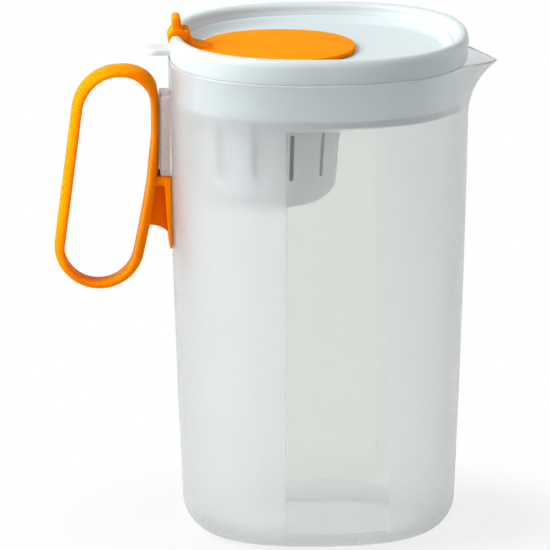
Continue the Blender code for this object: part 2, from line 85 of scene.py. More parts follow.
# Counts of points and rows, and angles in degrees.
PLAN_COLUMNS = 168
END_COLUMNS = 56
WINDOW_COLUMNS = 28
TURNED_COLUMNS = 96
KNUCKLE_COLUMNS = 64
ROLL_COLUMNS = 48
BORE_COLUMNS = 24
EDGE_STEPS = 12
LOOP_CORNER_STEPS = 4
WALL_ROWS = 34
SPOUT_ROWS = 14
BEVEL_SEGMENTS = 3
BEVEL_ANGLE = 30.0
BARREL_ANGLE = 60.0
FIN_ANGLE = 50.0
SMOOTH_ANGLE = 32.0
LOOP_CORNER_ANGLE = 5.0
LOOP_STEP = 2.5 * MM

# The body.
SPOUT_TIP_ROUNDING = 0.05
SPOUT_ROOT_ROUNDING = 0.12
SPOUT_POWER = 1.7
WINDOW_BEVEL = 0.5 * MM
SOCKET_ROOT = 1.0 * MM
SOCKET_CAP = 1.2 * MM
SOCKET_ROUNDING = 0.7 * MM

# The handle.
SWELL_RUN = 16.0 * MM
CORNER_OFF = 4.0 * MM
CORNER_RUN = 10.0 * MM
CORNER_SWELL = 0.9 * MM
LOOP_LIP = 1.1 * MM
LOOP_EDGE = 0.4 * MM
FOOT_ROOT = 2.6 * MM
FOOT_TIP = 1.2 * MM
FOOT_ROUNDING = 0.35 * MM
CLIP_ROUNDING = 0.3 * MM
BAR_DROP = 0.2 * MM
BAR_INSET = 0.4 * MM
WEB_HALF = 1.5 * MM
WEB_ROOT = 0.8 * MM
WEB_DROP_LEG = 23.6 * MM
WEB_DROP_FOOT = 28.4 * MM
ARCH_LEG = (3.0 * MM, 1.0 * MM)
ARCH_FOOT = (-1.4 * MM, 4.5 * MM)

# The lid.
CREST_INNER = (2.3 * MM, 2.1 * MM)
CREST_OUTER = (2.2 * MM, 3.6 * MM)
SLOPE_INSET = 2.6 * MM
LEDGE_WIDTH = 1.5 * MM
LEDGE_GROOVE = 0.3 * MM
BAND_DRAFT = 0.5 * MM
BAND_EDGE = 0.3 * MM
SKIRT_EDGE = 0.5 * MM
SEAL_THICKNESS = 0.8 * MM
LUG_WIDTH = 4.2 * MM
LUG_ROUNDING = 0.5 * MM
HINGE_ROOM = 4.0 * MM
TAB_CORNER = 5.2 * MM
TAB_ROOT = 1.2 * MM
TAB_ROUNDING = 0.4 * MM
COLLAR_ROOT = 0.7 * MM
MOUTH_CUT = 2.0 * MM
POUR_SLOT_WIDTH = 3.0 * MM
POUR_SLOT_PITCH = 6.0 * MM
POUR_SLOT_TOP = 1.5 * MM
POUR_SLOT_HEIGHT = 10.5 * MM
POUR_SLOT_DEPTH = 8.0 * MM

# The flap.
DISC_POWER = 2.12
DISC_LOWER_EDGE = 0.4 * MM
DISC_UPPER_EDGE = 0.6 * MM
DISC_CROWN = 0.25 * MM
CROWN_RINGS = (0.8, 0.5, 0.2)
PLUG_WALL = 1.4 * MM
PLUG_EDGE = 0.3 * MM
PLUG_ROOT = 0.5 * MM
ARM_RUN = 5.4 * MM
ARM_INSET = 0.3 * MM
ARM_ROUNDING = 0.4 * MM
ROLL_PLACE = (3.5 * MM, 1.9 * MM)
ROLL_RADIUS = 2.0 * MM
ROLL_INSET = 0.1 * MM
ROLL_ROUNDING = 0.5 * MM
FIN_FLARE = 0.5 * MM
FIN_NECK = 0.8 * MM
FIN_ROUNDING = 0.8 * MM

# The basket.
SLOT_TURN = 0.58
SLOT_BACK = 8.0 * MM
SLOT_FRONT = 6.0 * MM
SHOULDER_DROP = 1.0 * MM

# Finishes. Patterns are in waves to the metre.
MOULDED_IOR = 1.49
NOISE_SPAN = (0.3, 0.7)
FROST_GRAIN = 2600.0
FROST_CLOUD = 45.0
FROST_CLEARNESS = 0.87
WINDOW_CLEARNESS = 0.96
WINDOW_ROUGHNESS = 0.06
WINDOW_BORDER = 0.4 * MM
THICK_CLEARNESS = 0.85
RIM_FADE = (-1.2 * MM, -0.6 * MM)
SOCKET_FADE = 0.6 * MM
BASKET_CLEARNESS = 0.1
MILKY_FLOW = 60.0
MILKY_GRAIN = 3200.0
# Painted light: the lid's skirt below the rim is made lighter by this share, over this fade, for light that
# reaches it through the wall.
SKIRT_PAINTED_LIGHT = 1.25
PAINTED_LIGHT_FADE = 1.0 * MM
ORANGE_STREAK = 90.0
STREAK_SPAN = (0.35, 0.7)
ORANGE_GRAIN = 2800.0
SILICONE_DUST = 700.0
WIRE_LINES = 6000.0
FLOOR_SPECK = 400.0

# Camera and light.
VIEW_AZIMUTH = -3.0
VIEW_ELEVATION = 14.1
VIEW_DISTANCE = 10.0
VIEW_WIDTH = 0.2409
VIEW_END = 50.0
AIM_HEIGHT = 0.103
AIM_RIGHT = -0.0190
AIM_UP = 0.0099
SENSOR = 36.0
FLOOR_HALF = 3.0
FLOOR_FADE = (0.075, 0.15)
FLOOR_GLOW = 0.8
WORLD_AMBIENT = 0.4
LAMPS = (
    ("key_lamp", (-1.05, -0.26, 0.95), 0.9, 28.0),
    ("fill_lamp", (1.2, 0.1, 0.45), 0.9, 3.0),
)
SEEN_RAYS = ("Is Camera Ray", "Is Glossy Ray", "Is Transmission Ray")


def length(name, description, default):
    """A length that a user may change."""
    return FloatProperty(
        name=name, description=description, default=default, subtype="DISTANCE", unit="LENGTH", precision=4
    )


def colour(name, description, default):
    """A colour that a user may change."""
    return FloatVectorProperty(
        name=name, description=description, default=default, subtype="COLOR", size=3, min=0.0, max=1.0
    )


class JugSizes(bpy.types.PropertyGroup):
    """Sizes of the jug's body."""

    half_x: length("Rim half length", "Half the rim's length, from handle to spout", LID_HIGH.x)
    half_y: length("Rim half width", "Half the rim's width", LID_HIGH.y)
    height: length("Height", "Height of the rim over the base", JUG_HIGH.z + 2.2 * MM)
    plan_power: FloatProperty(name="Plan power", description="Squareness of the rim's outline", default=2.35)
    taper: length("Taper", "How far the wall draws in from rim to base", 6.9 * MM)
    taper_power: FloatProperty(name="Taper power", description="How late the wall draws in", default=1.5)
    wall: length("Wall", "Thickness of the wall", 2.0 * MM)
    base: length("Base", "Thickness of the base", 2.6 * MM)
    base_radius: length("Base radius", "Radius of the base's outer edge", 16.0 * MM)
    rim_radius: length("Rim radius", "Rounding of the rim's edges", 0.7 * MM)
    spout_reach: length("Spout reach", "How far the spout stands out", JUG_HIGH.x - LID_HIGH.x)
    spout_half: length("Spout half width", "Half the spout's width at the rim", 22.0 * MM)
    spout_height: length("Spout height", "Height of the spout on the wall", 25.0 * MM)
    spout_drop: length("Spout drop", "How far the tip lies below the rim", 3.1 * MM)
    window_x: length("Window place", "Middle of the level window along X", 5.7 * MM)
    window_half: length("Window half width", "Half the level window's width", 23.0 * MM)
    window_low: length("Window foot", "Height of the window's lower end", 8.0 * MM)
    window_high: length("Window head", "Height of the window's upper end", LID_LOW.z + 0.5 * MM)
    window_step: length("Window step", "Depth of the window's step in the wall", 0.2 * MM)
    socket_half: length("Socket half width", "Half the handle socket's width", 9.0 * MM)
    socket_front: length("Socket front", "Place of the socket's outer face along X", JUG_LOW.x + 1.25 * MM)
    socket_low: length("Socket foot", "Height of the socket's lower end", 160.8 * MM)
    socket_high: length("Socket head", "Height of the socket's upper end", 196.4 * MM)
    socket_wall: length("Socket wall", "Thickness of the socket's outer wall", 1.2 * MM)


class HandleSizes(bpy.types.PropertyGroup):
    """Sizes of the loop handle."""

    half_depth: length("Half depth", "Half the loop's depth along Y", HANDLE_HALF_DEPTH)
    foot_depth: length("Foot half depth", "Half the loop's depth at its foot", HANDLE_HALF_DEPTH - 2.5 * MM)
    leg: length("Leg thickness", "Thickness of the loop beside the jug", 3.0 * MM)
    grip: length("Grip thickness", "Thickness of the loop away from the jug", 4.2 * MM)
    upper_run: length("Upper thickness", "Thickness of the loop's upper run", 2.6 * MM)
    lower_run: length("Lower thickness", "Thickness of the loop's lower run", 2.9 * MM)
    thickening: length("Thickening run", "Distance over which the loop thickens", 6.0 * MM)
    swell: length("Swell", "Height below which the leg thickens", 178.0 * MM)
    top: length("Top", "Height of the loop's upper run", 207.1 * MM)
    foot: length("Foot", "Height of the loop's lower run", 110.6 * MM)
    knee: length("Knee", "Height at which the leg starts to lean out", 158.8 * MM)
    lean: length("Lean", "How far the leg leans out at the foot", 10.2 * MM)
    top_width: length("Upper width", "Distance from the leg to the upper corner", 32.5 * MM)
    foot_width: length("Lower width", "Distance from the leg to the lower corner", 44.5 * MM)
    radius_top: length("Upper radius", "Radius of the upper corner at the leg", 14.0 * MM)
    radius_back: length("Back radius", "Radius of the upper corner away from the leg", 19.0 * MM)
    radius_foot: length("Lower radius", "Radius of the lower corners", 17.4 * MM)
    radius_knee: length("Knee radius", "Radius of the leg's bend", 90.0 * MM)
    bar_height: length("Bar height", "Height of the cross bar below the socket", 4.5 * MM)
    clip_half: length("Clip half width", "Half the width of the clip's foot", 8.0 * MM)
    clip_length: length("Clip length", "Length of the foot that lies on the wall", 32.6 * MM)
    tongue: length("Tongue thickness", "Thickness of the tongue in the socket", 2.3 * MM)
    tongue_half: length("Tongue half width", "Half the tongue's width", 7.0 * MM)


class LidSizes(bpy.types.PropertyGroup):
    """Sizes of the lid. Heights are above the jug's rim."""

    crest: length("Crest", "Height of the raised rim", LID_HIGH.z - JUG_HIGH.z - 2.55 * MM)
    crest_in: length("Crest inset", "How far the crest lies inside the outline", 2.9 * MM)
    floor: length("Floor", "Height of the sunk floor", 2.8 * MM)
    ledge: length("Ledge", "Depth of the ledge inside the raised rim", 4.9 * MM)
    floor_in: length("Floor inset", "How far the floor's edge lies inside the outline", 12.5 * MM)
    sheet: length("Sheet", "Thickness of the lid's sheet", 2.0 * MM)
    skirt: length("Skirt", "Depth of the skirt below the rim", JUG_HIGH.z + 1.2 * MM - LID_LOW.z)
    skirt_gap: length("Skirt gap", "Clearance of the skirt in the jug", 0.5 * MM)
    tab_half: length("Tab half width", "Half the lift tab's width", 5.8 * MM)
    tab_low: length("Tab height", "Height of the lift tab's underside", 2.0 * MM)
    tab_sheet: length("Tab thickness", "Thickness of the lift tab", 2.5 * MM)
    mouth: length("Mouth radius", "Radius of the filling mouth", 23.0 * MM)
    collar: length("Collar radius", "Radius of the collar that holds the basket", 32.0 * MM)
    collar_wall: length("Collar wall", "Thickness of the collar", 1.6 * MM)
    collar_length: length("Collar length", "Length of the collar", 7.0 * MM)
    slots: IntProperty(name="Pour slots", description="Number of slots in the skirt at the spout", default=5)


class FlapSizes(bpy.types.PropertyGroup):
    """Sizes of the flap over the mouth."""

    half_x: length("Half length", "Half the disc's length", 34.0 * MM)
    half_y: length("Half width", "Half the disc's width", FLAP_HIGH.y - 0.8 * MM)
    middle: length("Middle", "Place of the disc's middle along X", MOUTH_X - 3.5 * MM)
    tip: length("Tip", "Height of the thumb fin's tip", FLAP_HIGH.z - 2.0 * MM)
    sheet: length("Sheet", "Thickness of the disc", 1.8 * MM)
    knuckle: length("Knuckle radius", "Radius of the hinge knuckle", 4.4 * MM)
    knuckle_half: length("Knuckle half width", "Half the knuckle's width", 6.0 * MM)
    fin: length("Fin thickness", "Thickness of the thumb fin", 3.8 * MM)
    fin_shift: length("Fin shift", "How far the fin stands outside the hinge", 0.6 * MM)
    fin_half: length("Fin half width", "Half the thumb fin's width", 5.5 * MM)


class BasketSizes(bpy.types.PropertyGroup):
    """Sizes of the strainer basket."""

    wall: length("Wall", "Thickness of the basket's wall", 1.4 * MM)
    waist: length("Waist radius", "Radius just above the bottom edge", 30.2 * MM)
    edge: length("Edge radius", "Rounding of the bottom edge", 10.0 * MM)
    slot_width: length("Slot width", "Width of a strainer slot", 2.2 * MM)
    slot_low: length("Slot foot", "Height of a slot's lower end", 163.0 * MM)
    slot_high: length("Slot head", "Height of a slot's upper end", 186.0 * MM)
    slots: IntProperty(name="Slots", description="Number of strainer slots", default=12)


class JugColours(bpy.types.PropertyGroup):
    """Colours of the plastics, the wire and the floor."""

    wall: colour("Wall", "Frosted plastic of the jug", (0.955, 0.975, 0.975))
    window: colour("Window", "Polished plastic of the level windows", (0.85, 0.87, 0.845))
    lid: colour("Lid", "Milky plastic of the lid", (0.575, 0.645, 0.66))
    basket: colour("Basket", "Milky plastic of the basket", (0.93, 0.985, 1.0))
    orange: colour("Orange", "Plastic of the handle and the flap", (1.0, 0.25, 0.0))
    orange_deep: colour("Deep orange", "Darker streaks in the orange plastic", (0.99, 0.225, 0.0))
    seal: colour("Seal", "Silicone of the lid's seal", (0.56, 0.61, 0.62))
    steel: colour("Steel", "Wire of the hinge pin", (0.58, 0.59, 0.60))
    floor: colour("Floor", "Floor under the jug", (0.62, 0.62, 0.62))


def leave_edit_mode():
    """Back to object mode with nothing selected."""
    if bpy.context.mode != "OBJECT":
        bpy.ops.object.mode_set(mode="OBJECT")
    bpy.ops.object.select_all(action="DESELECT")


def make_active(piece):
    leave_edit_mode()
    piece.select_set(True)
    bpy.context.view_layer.objects.active = piece


def add_loop(name, points, fill="NOTHING"):
    """A circle primitive set on the given points, as a loop of edges or one face."""
    leave_edit_mode()
    bpy.ops.mesh.primitive_circle_add(vertices=len(points), radius=1.0, fill_type=fill)
    piece = bpy.context.object
    piece.name = name
    piece.data.name = name
    for vertex, point in zip(piece.data.vertices, points):
        vertex.co = point
    return piece


def close_selected_loop():
    """A fan of faces over the selected loop of edges."""
    bpy.ops.mesh.edge_face_add()
    bpy.ops.mesh.poke()


def face_outwards():
    bpy.ops.mesh.select_all(action="SELECT")
    bpy.ops.mesh.remove_doubles(threshold=MERGE_DISTANCE)
    bpy.ops.mesh.normals_make_consistent(inside=False)
    bpy.ops.object.mode_set(mode="OBJECT")


def sweep(name, rings, joined=False):
    """A skin drawn by extruding a loop from ring to ring. Its ends are closed, or joined to each other."""
    piece = add_loop(name, rings[0])
    mesh = piece.data
    mesh.attributes.new("column", "INT", "POINT").data.foreach_set("value", range(len(rings[0])))
    bpy.ops.object.mode_set(mode="EDIT")
    bpy.ops.mesh.select_mode(type="EDGE")
    bpy.ops.mesh.select_all(action="SELECT")
    for ring in rings[1:] + rings[:1] * joined:
        bpy.ops.mesh.extrude_edges_move()
        shape = bmesh.from_edit_mesh(mesh)
        column = shape.verts.layers.int["column"]
        for vertex in shape.verts:
            if vertex.select:
                vertex.co = ring[vertex[column]]
        bmesh.update_edit_mesh(mesh)
    if not joined:
        close_selected_loop()
        bpy.ops.mesh.select_all(action="DESELECT")
        bpy.ops.mesh.select_non_manifold()
        close_selected_loop()
    face_outwards()
    mesh.attributes.remove(mesh.attributes["column"])
    return piece


def prism(name, outline, push):
    """A face on the outline's points, extruded by a vector."""
    piece = add_loop(name, outline, "NGON")
    bpy.ops.object.mode_set(mode="EDIT")
    bpy.ops.mesh.select_all(action="SELECT")
    bpy.ops.mesh.extrude_region_move(TRANSFORM_OT_translate={"value": push})
    face_outwards()
    return piece


def side_prism(name, outline, half):
    """A prism from (x, z) points, as wide along Y as two halves."""
    return prism(name, [(x, -half, z) for x, z in outline], (0.0, 2.0 * half, 0.0))


def round_edges(piece, width, angle=BEVEL_ANGLE):
    """Bevels the edges that are sharper than an angle."""
    make_active(piece)
    bpy.ops.object.modifier_add(type="BEVEL")
    bevel = piece.modifiers[-1]
    bevel.width = width
    bevel.segments = BEVEL_SEGMENTS
    bevel.limit_method = "ANGLE"
    bevel.angle_limit = math.radians(angle)
    bpy.ops.object.modifier_apply(modifier=bevel.name)


def combine(piece, tool, operation):
    """Joins a tool to a piece, or cuts it out."""
    make_active(piece)
    bpy.ops.object.modifier_add(type="BOOLEAN")
    step = piece.modifiers[-1]
    step.operation = operation
    step.solver = "EXACT"
    step.object = tool
    bpy.ops.object.modifier_apply(modifier=step.name)
    bpy.data.meshes.remove(tool.data)


def add_block(piece, name, outline, half, rounding=0.0, angle=BEVEL_ANGLE):
    """Joins a prism from (x, z) points to a piece, with its edges rounded first."""
    block = side_prism(name, outline, half)
    if rounding:
        round_edges(block, rounding, angle)
    combine(piece, block, "UNION")


def cut_block(piece, name, outline, half):
    combine(piece, side_prism(name, outline, half), "DIFFERENCE")


def finish_piece(piece, look, body, node):
    """Shades a piece, gives it its material and sets it on its body in place of a CAD node."""
    make_active(piece)
    bpy.ops.object.shade_smooth_by_angle(angle=math.radians(SMOOTH_ANGLE))
    piece.data.materials.clear()
    piece.data.materials.append(look)
    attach(piece, body)
    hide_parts(node)


def turns(count):
    """Angles of a full turn in even steps."""
    return [2.0 * math.pi * i / count for i in range(count)]


def arc(x, y, radius_x, radius_y, start, end, steps):
    """Points on an arc of an ellipse, with angles in degrees."""
    angles = [math.radians(start + (end - start) * i / steps) for i in range(steps + 1)]
    return [(x + radius_x * math.cos(t), y + radius_y * math.sin(t)) for t in angles]


def bend(x, y, radius, start, end, steps):
    """Points on an arc of a circle."""
    return arc(x, y, radius, radius, start, end, steps)


def circle(x, y, radius, count):
    return bend(x, y, radius, 0.0, 360.0, count)[:-1]


def upright(left, right, low, high):
    """(x, z) corners of a rectangle."""
    return [(left, low), (right, low), (right, high), (left, high)]


def bezier(points, steps):
    """Points on a cubic curve, without its first."""
    made = []
    for i in range(1, steps + 1):
        t = i / steps
        shares = ((1 - t) ** 3, 3 * t * (1 - t) ** 2, 3 * t * t * (1 - t), t**3)
        made.append(tuple(sum(s * p[k] for s, p in zip(shares, points)) for k in range(2)))
    return made


def turned_rings(profile, x):
    """Rings about the vertical line at x, from (radius, z) points."""
    angles = turns(TURNED_COLUMNS)
    return [[(x + r * math.cos(t), r * math.sin(t), z) for t in angles] for r, z in profile]


def ease(value):
    """A smooth step from nought to one."""
    value = min(1.0, max(0.0, value))
    return value * value * (3.0 - 2.0 * value)


def plan_point(jug, half_x, half_y, angle, z):
    """A point of the jug's rounded outline at an angle."""
    c = math.cos(angle)
    s = math.sin(angle)
    size = abs(c / half_x) ** jug.plan_power + abs(s / half_y) ** jug.plan_power
    reach = size ** (-1.0 / jug.plan_power)
    return (reach * c, reach * s, z)


def plan_ring(jug, inset, z):
    """The rim's outline drawn in by an inset."""
    return [plan_point(jug, jug.half_x - inset, jug.half_y - inset, t, z) for t in turns(PLAN_COLUMNS)]


def edge_angle(jug, half_x, half_y, x):
    """The angle at which the outline's +Y side passes x."""
    y = half_y * (1.0 - abs(x / half_x) ** jug.plan_power) ** (1.0 / jug.plan_power)
    return math.atan2(y, x)


def with_spout(jug, point):
    """Pulls a point near the +X end of the rim out into the pouring spout."""
    x, y, z = point
    rise = max(0.0, (z - jug.height + jug.spout_height) / jug.spout_height)
    if x <= 0.0 or rise == 0.0:
        return point
    tent = 1.0 - math.hypot(y / jug.spout_half, SPOUT_TIP_ROUNDING) + SPOUT_TIP_ROUNDING
    share = 0.5 * (tent + math.hypot(tent, SPOUT_ROOT_ROUNDING)) - 0.25 * SPOUT_ROOT_ROUNDING**2
    share = min(1.0, max(0.0, share))
    return (x + jug.spout_reach * share * rise**SPOUT_POWER, y, z - jug.spout_drop * share * rise**3)


def wall_ring(jug, inset, z):
    """A ring of the wall whose columns keep to the window's upright edges."""
    half_x = jug.half_x - inset
    half_y = jug.half_y - inset
    right = edge_angle(jug, half_x, half_y, jug.window_x + jug.window_half)
    left = edge_angle(jug, half_x, half_y, jug.window_x - jug.window_half)
    full = 2.0 * math.pi
    spans = [
        (-right, right, END_COLUMNS),
        (right, left, WINDOW_COLUMNS),
        (left, full - left, END_COLUMNS),
        (full - left, full - right, WINDOW_COLUMNS),
    ]
    ring = []
    for start, end, count in spans:
        for i in range(count):
            turn = start + (end - start) * i / count
            ring.append(with_spout(jug, plan_point(jug, half_x, half_y, turn, z)))
    return ring


def taper_at(jug, z):
    """How far the wall stands inside the rim's outline at a height."""
    return jug.taper * (max(0.0, jug.height - z) / jug.height) ** jug.taper_power


def wall_x(jug, z):
    """Place of the outer wall on the handle's side at a height."""
    return taper_at(jug, z) - jug.half_x


def wall_rings(jug, inset, floor, radius):
    """Rings of the outer or the inner wall, from the base up to the rim's rounding."""
    rings = []
    foot = taper_at(jug, floor + radius)
    for i in range(EDGE_STEPS + 1):
        turn = 0.5 * math.pi * i / EDGE_STEPS
        back = inset + foot + radius * (1.0 - math.sin(turn))
        rings.append(wall_ring(jug, back, floor + radius * (1.0 - math.cos(turn))))
    low = floor + radius
    start = jug.height - jug.spout_height
    top = jug.height - jug.rim_radius
    heights = [low + (start - low) * i / WALL_ROWS for i in range(1, WALL_ROWS + 1)]
    heights += [start + (top - start) * i / SPOUT_ROWS for i in range(1, SPOUT_ROWS + 1)]
    return rings + [wall_ring(jug, inset + taper_at(jug, z), z) for z in heights]


def rim_rings(jug):
    """Rings over the rounded rim, from the outer wall to the inner one."""
    radius = jug.rim_radius
    low = jug.height - radius
    outer = bend(radius, low, radius, 180.0, 90.0, 4)[1:]
    inner = bend(jug.wall - radius, low, radius, 90.0, 0.0, 4)[:-1]
    return [wall_ring(jug, inset, z) for inset, z in outer + inner]


def sink_window(piece, jug):
    """Insets the level window on the front and the back of the wall."""
    make_active(piece)
    bpy.ops.object.mode_set(mode="EDIT")
    bpy.ops.mesh.select_mode(type="FACE")
    bpy.ops.mesh.select_all(action="DESELECT")
    shape = bmesh.from_edit_mesh(piece.data)
    for face in shape.faces:
        middle = face.calc_center_median()
        outside = face.normal.x * middle.x + face.normal.y * middle.y > 0.0
        across = abs(middle.x - jug.window_x) < jug.window_half
        up = jug.window_low < middle.z < jug.window_high
        face.select = outside and across and up
    bmesh.update_edit_mesh(piece.data)
    bpy.ops.mesh.inset(thickness=WINDOW_BEVEL, depth=-jug.window_step)
    bpy.ops.object.mode_set(mode="OBJECT")


class JUG_OT_body(bpy.types.Operator):
    """Models the frosted body with its spout, level windows and handle socket"""

    bl_idname = "jug.body"
    bl_label = "Jug Body"

    def execute(self, context):
        jug = context.scene.jug_sizes
        handle = context.scene.jug_handle
        outer = wall_rings(jug, 0.0, 0.0, jug.base_radius)
        inner = wall_rings(jug, jug.wall, jug.base, jug.base_radius - jug.wall)
        body = sweep("jug_shell", outer + rim_rings(jug) + inner[::-1])
        sink_window(body, jug)

        front = jug.socket_front
        low = jug.socket_low
        high = jug.socket_high
        back = [(wall_x(jug, z) + SOCKET_ROOT, z) for z in (low, high)]
        block = [(front, low), *back, (front, high)]
        add_block(body, "socket_block", block, jug.socket_half, SOCKET_ROUNDING)
        left = front + jug.socket_wall
        room = upright(left, left + handle.tongue + 2.0 * GAP, low - SOCKET_CAP, high - SOCKET_CAP)
        cut_block(body, "socket_room", room, handle.tongue_half + GAP)
        finish_piece(body, frosted_look(context), "jug", "jug_body")
        return {"FINISHED"}


def rounded_path(corners):
    """A closed path from (x, z, radius) corners, with each corner an arc of even steps."""
    path = []
    for i, (x, z, radius) in enumerate(corners):
        here = Vector((x, z))
        back = (Vector(corners[i - 1][:2]) - here).normalized()
        ahead = (Vector(corners[(i + 1) % len(corners)][:2]) - here).normalized()
        half = 0.5 * back.angle(ahead)
        centre = here + (back + ahead).normalized() * radius / math.sin(half)
        tangent = radius / math.tan(half)
        first = here + back * tangent - centre
        last = here + ahead * tangent - centre
        start = math.atan2(first.y, first.x)
        full = (math.atan2(last.y, last.x) - start + math.pi) % (2.0 * math.pi) - math.pi
        steps = max(LOOP_CORNER_STEPS, round(abs(full) / math.radians(LOOP_CORNER_ANGLE)))
        for k in range(steps + 1):
            turn = start + full * k / steps
            path.append((centre.x + radius * math.cos(turn), centre.y + radius * math.sin(turn)))
    return path


def fill_runs(path):
    """A closed path with points added on its long straight runs."""
    filled = []
    for i, point in enumerate(path):
        here = Vector(point)
        ahead = Vector(path[(i + 1) % len(path)])
        count = max(1, round((ahead - here).length / LOOP_STEP))
        filled += [tuple(here.lerp(ahead, k / count)) for k in range(count)]
    return filled


def leg_x(jug, handle):
    """Centre line of the loop's upright leg, clear of the socket."""
    return jug.socket_front - GAP - 0.5 * handle.leg


def leg_at(jug, handle, z):
    """(x, z) of the leg's centre line at a height, below the knee as well."""
    share = max(0.0, (handle.knee - z) / (handle.knee - handle.foot))
    return (leg_x(jug, handle) - handle.lean * share, z)


def crowned_section(half, depth):
    """(sideways, outwards) points of a section with a crowned outer face and a flat inner one."""
    lip = LOOP_LIP - half
    edge = LOOP_EDGE
    points = arc(0.0, lip, depth, half - lip, 0.0, 180.0, 16)
    points += bend(edge - depth, edge - half, edge, 180.0, 270.0, 3)
    points += bend(depth - edge, edge - half, edge, 270.0, 360.0, 3)
    return points


def loop_section(jug, handle, x, z, level):
    """(half thickness, half depth, shift towards the hand) of the loop at a point of its path."""
    away = ease((leg_x(jug, handle) - x) / handle.thickening)
    low = ease((handle.swell - z) / SWELL_RUN)
    run = handle.upper_run if z > handle.knee else handle.lower_run
    grip = handle.grip + (run - handle.grip) * level
    half = 0.5 * (handle.leg + (grip - handle.leg) * max(away, low))
    shift = (half - 0.5 * handle.leg) * (1.0 - away)
    off = math.hypot(x - leg_x(jug, handle) + CORNER_OFF, z - handle.top + CORNER_OFF)
    swell = CORNER_SWELL * math.exp(-((off / CORNER_RUN) ** 2))
    half += swell
    shift += swell * ease((jug.socket_high + CORNER_OFF - z) / CORNER_OFF)
    narrowing = ease((handle.knee - z) / (handle.knee - handle.foot))
    return half, handle.half_depth + (handle.foot_depth - handle.half_depth) * narrowing, shift


def loop_rings(jug, handle):
    """Sections of the loop along its path."""
    leg = leg_x(jug, handle)
    corners = [
        (leg, handle.top, handle.radius_top),
        (leg - handle.top_width, handle.top, handle.radius_back),
        (leg - handle.foot_width, handle.foot, handle.radius_foot),
        (leg - handle.lean, handle.foot, handle.radius_foot),
        (leg, handle.knee, handle.radius_knee),
    ]
    path = fill_runs(rounded_path(corners))
    rings = []
    for i, (x, z) in enumerate(path):
        along = (Vector(path[(i + 1) % len(path)]) - Vector(path[i - 1])).normalized()
        half, depth, shift = loop_section(jug, handle, x, z, along.x**2)
        section = crowned_section(half, depth)
        rings.append([(x - shift + along.y * out, side, z - along.x * out) for side, out in section])
    return rings


class JUG_OT_handle(bpy.types.Operator):
    """Models the loop handle with its tongue, cross bar, web and foot"""

    bl_idname = "jug.handle"
    bl_label = "Loop Handle"

    def execute(self, context):
        jug = context.scene.jug_sizes
        handle = context.scene.jug_handle
        loop = sweep("loop_handle", loop_rings(jug, handle), joined=True)

        top = jug.socket_low - GAP
        bar_low = top - handle.bar_height
        tip_z = top - handle.clip_length
        wall_top = wall_x(jug, top) - GAP
        wall_tip = wall_x(jug, tip_z) - GAP
        root = wall_top - FOOT_ROOT
        tip = wall_tip - FOOT_TIP
        foot = [(wall_top, top), (root, top), (root, bar_low), (tip, tip_z), (wall_tip, tip_z)]
        add_block(loop, "clip_foot", foot, handle.clip_half, FOOT_ROUNDING)

        reach = root + OVERLAP
        bar_top = top - BAR_DROP
        bar = [leg_at(jug, handle, bar_low), (reach, bar_low)]
        bar += [(reach, bar_top), leg_at(jug, handle, bar_top)]
        add_block(loop, "clip_bar", bar, handle.clip_half - BAR_INSET, CLIP_ROUNDING)

        web_top = bar_low + OVERLAP
        foot_x = root + (tip - root) * WEB_DROP_FOOT / handle.clip_length + 0.5 * FOOT_TIP
        start = leg_at(jug, handle, top - WEB_DROP_LEG)
        end = (foot_x, top - WEB_DROP_FOOT)
        pulls = [(x + a, z + b) for (x, z), (a, b) in ((start, ARCH_LEG), (end, ARCH_FOOT))]
        web = [start, *bezier([start, *pulls, end], 8)]
        web += [(root + WEB_ROOT, web_top), leg_at(jug, handle, web_top)]
        add_block(loop, "clip_web", web, WEB_HALF)

        left = jug.socket_front + jug.socket_wall + GAP
        high = jug.socket_high - SOCKET_CAP - 2.0 * GAP
        tongue = upright(left, left + handle.tongue, web_top, high)
        add_block(loop, "clip_tongue", tongue, handle.tongue_half, CLIP_ROUNDING)
        finish_piece(loop, orange_look(context, "satin_orange_handle"), "handle", "handle")
        return {"FINISHED"}


